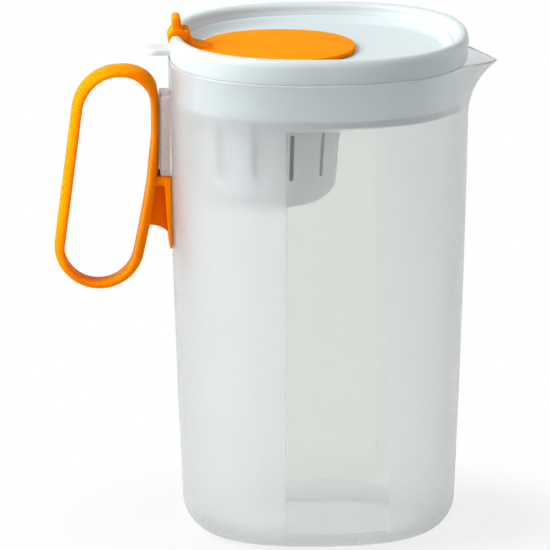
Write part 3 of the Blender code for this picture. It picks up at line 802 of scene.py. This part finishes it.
def lid_section(jug, lid):
    """(inset, height over the rim) points from the floor's edge over the crest and under to the floor."""
    floor_in, floor, crest, peak, sheet = lid.floor_in, lid.floor, lid.crest, lid.crest_in, lid.sheet
    outer = jug.wall + lid.skirt_gap
    inner = outer + sheet
    shoulder = crest - CREST_INNER[1]
    slope_top = peak + SLOPE_INSET
    ledge = crest - lid.ledge
    ledge_in = slope_top + LEDGE_WIDTH
    groove = ledge - LEDGE_GROOVE

    # The slope from the floor, the groove, and the ledge's curve up to the shoulder.
    slope = [(floor_in, floor), (floor_in - 2.6 * MM, floor)]
    slope += [(ledge_in + 1.6 * MM, ledge - 0.7 * MM), (ledge_in, ledge)]
    rise = [(ledge_in - 0.5 * MM, ledge), (slope_top + 0.5 * MM, ledge + 0.8 * MM)]
    rise += [(slope_top, shoulder - 1.0 * MM), (slope_top, shoulder)]
    section = [(floor_in, floor), *bezier(slope, 10)]
    section += [(ledge_in - 0.2 * MM, groove), (ledge_in - 0.5 * MM, groove), *bezier(rise, 5)]

    # The crest, the band, and the skirt with the seal's seat.
    section += arc(peak + 0.3 * MM, shoulder, *CREST_INNER, 0.0, 90.0, 6)[1:]
    section += arc(CREST_OUTER[0], crest - CREST_OUTER[1], *CREST_OUTER, 90.0, 180.0, 8)
    section += bend(BAND_DRAFT + BAND_EDGE, REST_GAP + BAND_EDGE, BAND_EDGE, 180.0, 270.0, 3)
    seat_low = SEAL_LOW.z - SEAL_GAP - jug.height
    seat_high = SEAL_HIGH.z + SEAL_GAP - jug.height
    seat = outer + SEAL_THICKNESS + GAP
    section += [(outer - 0.1 * MM, REST_GAP), (outer, REST_GAP - 0.1 * MM)]
    section += [(outer, seat_high), (seat, seat_high), (seat, seat_low), (outer, seat_low)]
    foot = -lid.skirt + SKIRT_EDGE
    section += bend(outer + SKIRT_EDGE, foot, SKIRT_EDGE, 180.0, 270.0, 3)
    section += bend(inner - SKIRT_EDGE, foot, SKIRT_EDGE, 270.0, 360.0, 3)

    # The underside, a sheet's thickness below.
    drop = crest - floor
    under = crest - sheet
    section += [(inner, sheet), (sheet + 0.1 * MM, sheet + 1.5 * MM), (sheet, crest - 5.5 * MM)]
    section += [(sheet + 0.2 * MM, under - 0.9 * MM), (peak, under - 0.3 * MM)]
    section += [(peak + 0.7 * MM, under - 0.9 * MM), (peak + 1.6 * MM, floor + 0.4 * drop)]
    section.append((peak + 3.3 * MM, floor + 0.1 * drop))
    section += [(floor_in - 4.1 * MM, floor - 0.6 * sheet), (floor_in - 1.5 * MM, floor - sheet)]
    return section


def lug_outline(jug, lid):
    """(x, z) outline of the hinge lugs, inside the lid's raised rim."""
    floor_in, floor, crest, peak = lid.floor_in, lid.floor, lid.crest, lid.crest_in
    skirt = jug.wall + lid.skirt_gap
    outline = [
        (1.4 * MM, 1.2 * MM),
        (skirt + 0.8 * MM, 0.9 * MM),
        (skirt + lid.sheet + 1.2 * MM, 1.2 * MM),
        (floor_in - 4.2 * MM, floor - 0.5 * MM),
        (floor_in - 4.0 * MM, floor + 0.6 * MM),
        (peak + 4.0 * MM, floor + 0.25 * (crest - floor)),
        (peak + 2.0 * MM, crest - 2.9 * MM),
        (peak + 0.6 * MM, crest - 1.0 * MM),
        (peak - 0.6 * MM, crest - 1.0 * MM),
        (1.4 * MM, crest - 3.4 * MM),
    ]
    return [(inset - jug.half_x, jug.height + z) for inset, z in outline]


def hinge_rooms(jug, lid, flap):
    """(outline, half width) of each cut that lets the flap turn."""
    half = flap.knuckle_half + GAP
    above = jug.height + lid.crest + HINGE_ROOM
    edge = -jug.half_x
    floor = jug.height + lid.floor + ARM_GAP
    end = edge + lid.floor_in + HINGE_ROOM
    arm = [(HINGE.x, floor + 0.6 * MM), (HINGE.x + 3.0 * MM, floor)]
    arm += [(end, floor), (end, above), (HINGE.x, above)]
    fin_floor = HINGE.z - flap.fin_shift - 0.5 * flap.fin - FIN_FLARE - GAP
    return [
        (circle(HINGE.x, HINGE.z, flap.knuckle + GAP, KNUCKLE_COLUMNS), half),
        (arm, half),
        (upright(edge - OVERLAP, HINGE.x, fin_floor, above), half),
        (circle(HINGE.x, HINGE.z, PIN_RADIUS + GAP, BORE_COLUMNS), PIN_HIGH.y + GAP),
    ]


class JUG_OT_lid(bpy.types.Operator):
    """Models the lid with its raised rim, lift tab, hinge lugs, collar and pour slots"""

    bl_idname = "jug.lid"
    bl_label = "Lid"

    def execute(self, context):
        jug = context.scene.jug_sizes
        lid = context.scene.jug_lid
        flap = context.scene.jug_flap
        up = jug.height
        cover = sweep("lid_cover", [plan_ring(jug, inset, up + z) for inset, z in lid_section(jug, lid)])
        lug_half = flap.knuckle_half + GAP + LUG_WIDTH
        add_block(cover, "hinge_lugs", lug_outline(jug, lid), lug_half, LUG_ROUNDING)

        tip = LID_LOW.x + TAB_CORNER
        side = lid.tab_half - TAB_CORNER
        root = -jug.half_x + TAB_ROOT
        tab = [(root, lid.tab_half), *bend(tip, side, TAB_CORNER, 90.0, 180.0, 8)]
        tab += [*bend(tip, -side, TAB_CORNER, 180.0, 270.0, 8), (root, -lid.tab_half)]
        tab = prism("lift_tab", [(x, y, up + lid.tab_low) for x, y in tab], (0.0, 0.0, lid.tab_sheet))
        round_edges(tab, TAB_ROUNDING)
        combine(cover, tab, "UNION")

        under = up + lid.floor - lid.sheet
        low = under - lid.collar_length
        high = under + COLLAR_ROOT
        inside = lid.collar - lid.collar_wall
        collar = [(lid.collar, high), (lid.collar, low), (inside, low), (inside, high)]
        combine(cover, sweep("collar", turned_rings(collar, BASKET_X), joined=True), "UNION")
        mouth = [(lid.mouth, up + lid.floor + MOUTH_CUT), (lid.mouth, under - MOUTH_CUT)]
        combine(cover, sweep("mouth", turned_rings(mouth, MOUTH_X)), "DIFFERENCE")
        for outline, half in hinge_rooms(jug, lid, flap):
            cut_block(cover, "hinge_room", outline, half)

        near = jug.half_x - jug.wall - lid.skirt_gap - lid.sheet - POUR_SLOT_DEPTH
        top = up - POUR_SLOT_TOP
        outline = upright(near, jug.half_x, top - POUR_SLOT_HEIGHT, top)
        for i in range(lid.slots):
            y = (i - 0.5 * (lid.slots - 1)) * POUR_SLOT_PITCH - 0.5 * POUR_SLOT_WIDTH
            slot = prism("pour_slot", [(x, y, z) for x, z in outline], (0.0, POUR_SLOT_WIDTH, 0.0))
            combine(cover, slot, "DIFFERENCE")
        # The skirt below the rim gets painted light: its colour is lightened below the rim's height.
        look = milky_look("milky_lid_painted_light", context.scene.jug_colours.lid, 0.0, up)
        finish_piece(cover, look, "lid", "lid")
        return {"FINISHED"}


def squared(value):
    """A sine or cosine pressed towards a rounded rectangle."""
    return math.copysign(abs(value) ** (2.0 / DISC_POWER), value)


def disc_rings(flap, under):
    """Rings of the oval disc from its underside over its rounded edge to its crown."""
    top = under + flap.sheet
    profile = bend(DISC_LOWER_EDGE, under + DISC_LOWER_EDGE, DISC_LOWER_EDGE, 270.0, 180.0, 3)
    profile += bend(DISC_UPPER_EDGE, top - DISC_UPPER_EDGE, DISC_UPPER_EDGE, 180.0, 90.0, 5)
    profile = [(1.0 - inset / flap.half_x, z) for inset, z in profile]
    profile += [(share, top + DISC_CROWN * (1.0 - share * share)) for share in CROWN_RINGS]
    angles = turns(TURNED_COLUMNS)
    plan = [(flap.half_x * squared(math.cos(t)), flap.half_y * squared(math.sin(t))) for t in angles]
    return [[(flap.middle + share * x, share * y, z) for x, y in plan] for share, z in profile]


def plug_profile(lid, under):
    """(radius, z) points of the ring under the disc that fits the mouth."""
    plug = lid.mouth - PLUG_CLEARANCE
    inside = plug - PLUG_WALL
    root = under + PLUG_ROOT
    low = FLAP_LOW.z
    edge = low + PLUG_EDGE
    profile = [(inside, root), (inside, edge), (inside + PLUG_EDGE, low)]
    return profile + [(plug - PLUG_EDGE, low), (plug, edge), (plug, root)]


def arm_outline(flap, under):
    """(x, z) outline of the arm from the knuckle down to the disc."""
    start = flap.middle - flap.half_x
    above = [(0.6 * MM, flap.knuckle - 0.2 * MM), (3.5 * MM, 2.6 * MM)]
    above += [(5.6 * MM, -0.6 * MM), (7.2 * MM, -2.0 * MM)]
    below = [(3.2 * MM, -2.8 * MM), (0.6 * MM, 0.6 * MM - flap.knuckle)]
    outline = [(HINGE.x + x, HINGE.z + z) for x, z in above]
    outline += [(start + ARM_RUN, under + flap.sheet + 0.25 * MM), (start + ARM_RUN, under + 0.4 * MM)]
    outline.append((start - 1.0 * MM, under + 0.2 * MM))
    return outline + [(HINGE.x + x, HINGE.z + z) for x, z in below]


def fin_outline(flap):
    """(x, z) outline of the thumb fin with its round tip."""
    left = HINGE.x - flap.fin_shift - 0.5 * flap.fin
    right = left + flap.fin
    crown = 0.5 * flap.fin
    root = HINGE.z + OVERLAP
    neck = HINGE.z + flap.knuckle + FIN_NECK
    outline = [(left - FIN_FLARE, root), (right + FIN_FLARE, root), (right, neck)]
    return outline + bend(left + crown, flap.tip - crown, crown, 0.0, 180.0, 16) + [(left, neck)]


class JUG_OT_flap(bpy.types.Operator):
    """Models the flap: a disc with a plug, an arm, a knuckle and a thumb fin"""

    bl_idname = "jug.flap"
    bl_label = "Flap"

    def execute(self, context):
        jug = context.scene.jug_sizes
        lid = context.scene.jug_lid
        flap = context.scene.jug_flap
        under = jug.height + lid.floor + GAP
        half = flap.knuckle_half
        disc = sweep("flap_cover", disc_rings(flap, under))
        plug = sweep("flap_plug", turned_rings(plug_profile(lid, under), MOUTH_X), joined=True)
        combine(disc, plug, "UNION")
        add_block(disc, "flap_arm", arm_outline(flap, under), half - ARM_INSET, ARM_ROUNDING)
        knuckle = circle(HINGE.x, HINGE.z, flap.knuckle, KNUCKLE_COLUMNS)
        add_block(disc, "flap_knuckle", knuckle, half, ARM_ROUNDING, BARREL_ANGLE)
        roll = circle(HINGE.x + ROLL_PLACE[0], HINGE.z + ROLL_PLACE[1], ROLL_RADIUS, ROLL_COLUMNS)
        add_block(disc, "flap_roll", roll, half - ROLL_INSET, ROLL_ROUNDING, BARREL_ANGLE)
        add_block(disc, "flap_fin", fin_outline(flap), flap.fin_half, FIN_ROUNDING, FIN_ANGLE)
        cut_block(disc, "flap_bore", circle(HINGE.x, HINGE.z, PIN_RADIUS + GAP, BORE_COLUMNS), PIN_HIGH.y)
        finish_piece(disc, orange_look(context, "satin_orange_flap"), "flap", "flap")
        return {"FINISHED"}


class JUG_OT_basket(bpy.types.Operator):
    """Models the strainer basket with its upright slots"""

    bl_idname = "jug.basket"
    bl_label = "Strainer Basket"

    def execute(self, context):
        jug = context.scene.jug_sizes
        lid = context.scene.jug_lid
        basket = context.scene.jug_basket
        neck = lid.collar + GAP
        shoulder = jug.height + lid.floor - lid.sheet - lid.collar_length - SHOULDER_DROP
        lip = 0.5 * basket.wall
        top = BASKET_HIGH.z - lip
        skins = []
        for side, radius in ((neck + basket.wall, basket.edge), (neck, basket.edge - basket.wall)):
            skin = bend(basket.waist - basket.edge, BASKET_LOW.z + basket.edge, radius, -90.0, 0.0, 10)
            skins.append(skin + [(side, shoulder), (side, top)])
        edge = bend(neck + lip, top, lip, 0.0, 180.0, 6)[1:-1]
        cup = sweep("strainer_cup", turned_rings(skins[0] + edge + skins[1][::-1], BASKET_X))

        half = 0.5 * basket.slot_width
        profile = bend(0.0, basket.slot_high - half, half, 0.0, 180.0, 8)
        profile += bend(0.0, basket.slot_low + half, half, 180.0, 360.0, 8)
        near = basket.waist - SLOT_BACK
        run = neck + SLOT_FRONT - near
        for i in range(basket.slots):
            turn = 2.0 * math.pi * (i + SLOT_TURN) / basket.slots
            out = Vector((math.cos(turn), math.sin(turn), 0.0))
            side = Vector((-out.y, out.x, 0.0))
            start = Vector((BASKET_X, 0.0, 0.0)) + out * near
            outline = [start + side * a + Vector((0.0, 0.0, b)) for a, b in profile]
            combine(cup, prism("strainer_slot", outline, out * run), "DIFFERENCE")
        look = milky_look("milky_basket", context.scene.jug_colours.basket, BASKET_CLEARNESS)
        finish_piece(cup, look, "basket", "strainer_basket")
        return {"FINISHED"}


class JUG_OT_fittings(bpy.types.Operator):
    """Gives the seal and the hinge pin of the frame their finishes"""

    bl_idname = "jug.fittings"
    bl_label = "Seal and Pin"

    def execute(self, context):
        for node, look in (("lid_seal", silicone_look(context)), ("flap_hinge_pin", wire_look(context))):
            piece = frame["nodes"][node]
            piece.data.materials.clear()
            piece.data.materials.append(look)
        return {"FINISHED"}


def feed(node, values):
    """Gives a node's inputs, by name or number, a constant or another node's output."""
    for key, value in values.items():
        if isinstance(value, bpy.types.NodeSocket):
            node.id_data.links.new(value, node.inputs[key])
        else:
            node.inputs[key].default_value = value


def add_node(beside, kind, values, **settings):
    """A shader node in a socket's tree, with its settings and its inputs."""
    node = beside.id_data.nodes.new("ShaderNode" + kind)
    for name, setting in settings.items():
        setattr(node, name, setting)
    feed(node, values)
    return node


def new_look(name):
    """A material, its Principled shader and its Object coordinates."""
    look = bpy.data.materials.new(name)
    look.use_nodes = True
    nodes = look.node_tree.nodes
    return look, nodes["Principled BSDF"], nodes.new("ShaderNodeTexCoord").outputs["Object"]


def noise(coordinates, scale, detail=2.0, stretch=(1.0, 1.0, 1.0)):
    """A noise of so many waves to the metre, drawn out along an axis by a stretch below one."""
    place = add_node(coordinates, "Mapping", {"Vector": coordinates, "Scale": stretch}).outputs["Vector"]
    values = {"Vector": place, "Scale": scale, "Detail": detail}
    return add_node(coordinates, "TexNoise", values).outputs["Fac"]


def remap(value, source, target, kind="LINEAR"):
    """A value taken from one range to another, and kept inside it."""
    values = dict(enumerate((value, *source, *target)))
    return add_node(value, "MapRange", values, interpolation_type=kind).outputs["Result"]


def soft_step(value, source, target):
    return remap(value, source, target, "SMOOTHSTEP")


def uneven(pattern, low, high):
    """A number that varies with a noise."""
    return remap(pattern, NOISE_SPAN, (low, high))


def maths(operation, *values):
    """One sum on sockets or numbers."""
    beside = next(value for value in values if isinstance(value, bpy.types.NodeSocket))
    return add_node(beside, "Math", dict(enumerate(values)), operation=operation).outputs["Value"]


def between(share, first, second):
    """A colour between two colours, each a socket or three numbers."""
    made = add_node(share, "Mix", {}, data_type="RGBA")
    places = {socket.identifier: i for i, socket in enumerate(made.inputs)}
    first, second = (c if isinstance(c, bpy.types.NodeSocket) else (*c, 1.0) for c in (first, second))
    feed(made, {places["Factor_Float"]: share, places["A_Color"]: first, places["B_Color"]: second})
    return next(socket for socket in made.outputs if socket.identifier == "Result_Color")


def shaded(base, share):
    return tuple(channel * share for channel in base)


def tinted(pattern, base, share):
    """A colour that a noise darkens down to a share of it."""
    return between(pattern, shaded(base, share), base)


def place_in(coordinates):
    """The X and Z of a point."""
    place = add_node(coordinates, "SeparateXYZ", {"Vector": coordinates})
    return place.outputs["X"], place.outputs["Z"]


def mould_bump(height, strength, distance):
    """A fine relief, as a shader's normal."""
    values = {"Height": height, "Strength": strength, "Distance": distance}
    return add_node(height, "Bump", values).outputs["Normal"]


def frosted_look(context):
    """Frosted polypropylene with a polished level window front and back."""
    jug = context.scene.jug_sizes
    colours = context.scene.jug_colours
    look, shader, coordinates = new_look("frosted_wall")
    x, z = place_in(coordinates)
    off = maths("ABSOLUTE", maths("SUBTRACT", x, jug.window_x))
    across = soft_step(off, (jug.window_half - WINDOW_BORDER, jug.window_half), (1.0, 0.0))
    above = soft_step(z, (jug.window_low, jug.window_low + WINDOW_BORDER), (0.0, 1.0))
    below = soft_step(z, (jug.window_high - WINDOW_BORDER, jug.window_high), (1.0, 0.0))
    window = maths("MULTIPLY", across, maths("MULTIPLY", above, below))
    frost = maths("SUBTRACT", 1.0, window)

    grain = noise(coordinates, FROST_GRAIN)
    milky = tinted(noise(coordinates, FROST_CLOUD, 3.0), colours.wall, 0.97)
    rough = maths("MULTIPLY", frost, uneven(grain, 0.20, 0.30))
    clear = remap(window, (0.0, 1.0), (FROST_CLEARNESS, WINDOW_CLEARNESS))
    rim = remap(z, [jug.height + fade for fade in RIM_FADE], (1.0, THICK_CLEARNESS))
    socket = remap(x, (-jug.half_x - SOCKET_FADE, -jug.half_x), (THICK_CLEARNESS, 1.0))
    feed(shader, {
        "Base Color": between(window, milky, colours.window),
        "Roughness": maths("ADD", rough, WINDOW_ROUGHNESS),
        "Transmission Weight": maths("MULTIPLY", clear, maths("MULTIPLY", rim, socket)),
        "IOR": MOULDED_IOR,
        "Normal": mould_bump(maths("MULTIPLY", frost, grain), 0.25, 0.05 * MM),
    })
    return look


def milky_look(name, base, clear, painted_light_height=None):
    """Milky moulded plastic with a satin skin. Below a given height its colour is lightened as painted
    light, for light that reaches the lid's skirt through the jug's wall.
    """
    look, shader, coordinates = new_look(name)
    tint = tinted(noise(coordinates, MILKY_FLOW, 4.0, (1.0, 1.0, 0.4)), base, 0.965)
    grain = noise(coordinates, MILKY_GRAIN)
    # Painted light: below the given height the colour is blended towards a paler copy of the base.
    if painted_light_height is not None:
        low = soft_step(place_in(coordinates)[1], (painted_light_height - PAINTED_LIGHT_FADE, painted_light_height), (1.0, 0.0))
        tint = between(low, tint, shaded(base, SKIRT_PAINTED_LIGHT))
    feed(shader, {
        "Base Color": tint,
        "Roughness": uneven(grain, 0.30, 0.40),
        "Subsurface Weight": 0.25,
        "Subsurface Radius": (1.0, 1.0, 1.0),
        "Subsurface Scale": 2.5 * MM,
        "Transmission Weight": clear,
        "IOR": MOULDED_IOR,
        "Normal": mould_bump(grain, 0.12, 0.03 * MM),
    })
    return look


def orange_look(context, name):
    """Satin orange plastic with faint flow streaks and a fine moulded grain."""
    colours = context.scene.jug_colours
    look, shader, coordinates = new_look(name)
    streak = noise(coordinates, ORANGE_STREAK, 4.0, (1.0, 1.0, 0.25))
    grain = noise(coordinates, ORANGE_GRAIN)
    feed(shader, {
        "Base Color": between(remap(streak, STREAK_SPAN, (0.0, 1.0)), colours.orange, colours.orange_deep),
        "Roughness": uneven(grain, 0.34, 0.46),
        "IOR": 1.46,
        "Specular IOR Level": 0.004,
        "Subsurface Weight": 0.6,
        "Subsurface Radius": (1.0, 0.15, 0.02),
        "Subsurface Scale": 2.0 * MM,
        "Normal": mould_bump(grain, 0.15, 0.03 * MM),
    })
    return look


def silicone_look(context):
    """Soft pale silicone with a dusty skin."""
    look, shader, coordinates = new_look("soft_silicone")
    dust = noise(coordinates, SILICONE_DUST, 3.0)
    feed(shader, {
        "Base Color": tinted(dust, context.scene.jug_colours.seal, 0.92),
        "Roughness": uneven(dust, 0.55, 0.7),
        "Subsurface Weight": 0.2,
        "Subsurface Scale": 1.0 * MM,
        "Normal": mould_bump(dust, 0.1, 0.02 * MM),
    })
    return look


def wire_look(context):
    """Drawn steel wire with fine lines along its length."""
    look, shader, coordinates = new_look("drawn_wire")
    lines = noise(coordinates, WIRE_LINES, 3.0, (1.0, 0.03, 1.0))
    feed(shader, {
        "Base Color": tinted(lines, context.scene.jug_colours.steel, 0.85),
        "Roughness": uneven(lines, 0.22, 0.42),
        "Metallic": 1.0,
        "Normal": mould_bump(lines, 0.1, 0.01 * MM),
    })
    return look


def seen_ray(tree):
    """One where a ray goes to the camera, straight or by gloss or glass."""
    path = tree.nodes.new("ShaderNodeLightPath")
    first, second, third = (path.outputs[kind] for kind in SEEN_RAYS)
    return maths("MAXIMUM", maths("MAXIMUM", first, second), third)


def floor_look(context):
    """Pale matt floor that keeps the shadow near the jug and runs out to white."""
    look, shader, coordinates = new_look("pale_floor")
    tint = tinted(noise(coordinates, FLOOR_SPECK), context.scene.jug_colours.floor, 0.995)
    feed(shader, {"Base Color": tint, "Roughness": 0.9, "Specular IOR Level": 0.0})
    distance = add_node(coordinates, "VectorMath", {0: coordinates}, operation="LENGTH").outputs["Value"]
    far = soft_step(distance, FLOOR_FADE, (FLOOR_GLOW, 1.0))
    share = maths("MULTIPLY", far, seen_ray(look.node_tree))
    white = add_node(coordinates, "Emission", {}).outputs["Emission"]
    blend = add_node(coordinates, "MixShader", {0: share, 1: shader.outputs["BSDF"], 2: white})
    feed(look.node_tree.nodes["Material Output"], {"Surface": blend.outputs["Shader"]})
    return look


def add_world(context):
    """A soft even surround that is white where it is seen."""
    world = bpy.data.worlds.new("studio_surround")
    world.use_nodes = True
    tree = world.node_tree
    strength = remap(seen_ray(tree), (0.0, 1.0), (WORLD_AMBIENT, 1.0))
    feed(tree.nodes["Background"], {"Color": (1.0, 1.0, 1.0, 1.0), "Strength": strength})
    context.scene.world = world


def add_lamps():
    target = Vector((0.0, 0.0, AIM_HEIGHT))
    for name, place, size, power in LAMPS:
        leave_edit_mode()
        bpy.ops.object.light_add(type="AREA", location=place)
        lamp = bpy.context.object
        lamp.name = name
        lamp.data.size = size
        lamp.data.energy = power
        lamp.rotation_euler = (target - Vector(place)).to_track_quat("-Z", "Y").to_euler()


def add_camera(context):
    """A long lens at the photograph's angle."""
    a = math.radians(VIEW_AZIMUTH)
    e = math.radians(VIEW_ELEVATION)
    back = Vector((math.sin(a) * math.cos(e), -math.cos(a) * math.cos(e), math.sin(e)))
    right = Vector((math.cos(a), math.sin(a), 0.0))
    aim = Vector((0.0, 0.0, AIM_HEIGHT)) + right * AIM_RIGHT + back.cross(right) * AIM_UP
    leave_edit_mode()
    bpy.ops.object.camera_add(location=aim + back * VIEW_DISTANCE)
    camera = context.object
    camera.name = "view_camera"
    camera.rotation_euler = (-back).to_track_quat("-Z", "Y").to_euler()
    camera.data.sensor_width = SENSOR
    camera.data.lens = SENSOR * VIEW_DISTANCE / VIEW_WIDTH
    camera.data.clip_end = VIEW_END
    context.scene.camera = camera


class JUG_OT_stage(bpy.types.Operator):
    """Sets up the floor, the light and the camera"""

    bl_idname = "jug.stage"
    bl_label = "Stage"

    def execute(self, context):
        leave_edit_mode()
        bpy.ops.mesh.primitive_plane_add(size=2.0 * FLOOR_HALF, location=(0.0, 0.0, 0.0))
        floor = context.object
        floor.name = "studio_floor"
        floor.data.materials.append(floor_look(context))
        add_world(context)
        add_lamps()
        add_camera(context)
        context.scene.view_settings.view_transform = "Standard"
        return {"FINISHED"}


class JUG_PT_panel(bpy.types.Panel):
    """Lists the jug's pieces in the sidebar"""

    bl_idname = "JUG_PT_panel"
    bl_label = "Lidded Jug"
    bl_space_type = "VIEW_3D"
    bl_region_type = "UI"
    bl_category = "Jug"

    def draw(self, context):
        for operator in OPERATORS:
            self.layout.operator(operator.bl_idname)


GROUPS = {
    "jug_sizes": JugSizes,
    "jug_handle": HandleSizes,
    "jug_lid": LidSizes,
    "jug_flap": FlapSizes,
    "jug_basket": BasketSizes,
    "jug_colours": JugColours,
}
OPERATORS = (
    JUG_OT_body,
    JUG_OT_handle,
    JUG_OT_lid,
    JUG_OT_flap,
    JUG_OT_basket,
    JUG_OT_fittings,
    JUG_OT_stage,
)


def register():
    for group in GROUPS.values():
        bpy.utils.register_class(group)
    for name, group in GROUPS.items():
        setattr(bpy.types.Scene, name, PointerProperty(type=group))
    for kind in (*OPERATORS, JUG_PT_panel):
        bpy.utils.register_class(kind)


def unregister():
    for kind in (JUG_PT_panel, *OPERATORS[::-1]):
        bpy.utils.unregister_class(kind)
    for name, group in GROUPS.items():
        delattr(bpy.types.Scene, name)
        bpy.utils.unregister_class(group)


def main():
    register()
    bpy.ops.jug.body()
    bpy.ops.jug.handle()
    bpy.ops.jug.lid()
    bpy.ops.jug.flap()
    bpy.ops.jug.basket()
    bpy.ops.jug.fittings()
    bpy.ops.jug.stage()
    leave_edit_mode()


if __name__ == "__main__":
    main()
